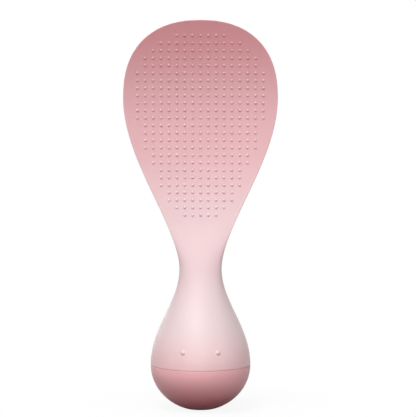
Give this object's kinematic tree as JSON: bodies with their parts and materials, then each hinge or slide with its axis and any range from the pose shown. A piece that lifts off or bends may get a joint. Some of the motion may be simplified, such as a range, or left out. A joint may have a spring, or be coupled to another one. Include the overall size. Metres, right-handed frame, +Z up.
{
  "type": "rice paddle",
  "caption": "Self-standing rice paddle: dished blade with grain-shedding nubs on a hollow, ballasted bulb with a snap-in base cap.",
  "frame": {"origin": "centre of the small flat foot under the bulb, which is also the middle of the base of the bounding box", "axes": "+Z up through bulb, neck and blade; -Y is the way the nubbed, hollow side of the blade faces; X runs across the blade"},
  "size_m": [0.0786, 0.0512, 0.2],
  "materials": {
    "body_plastic": "satin moulded, pale pink",
    "cap_plastic": "satin moulded, slightly deeper pink",
    "seal_rubber": "matt",
    "ballast_iron": "as cast",
    "pad_rubber": "matt",
    "washer_steel": "plain",
    "screw_steel": "plain"
  },
  "bodies": {
    "root": {"paddle_body": "body_plastic", "base_cap": "cap_plastic", "seal_ring": "seal_rubber", "ballast_weight": "ballast_iron", "weight_pad": "pad_rubber", "ballast_washer": "washer_steel", "ballast_screw": "screw_steel"}
  },
  "joints": []
}
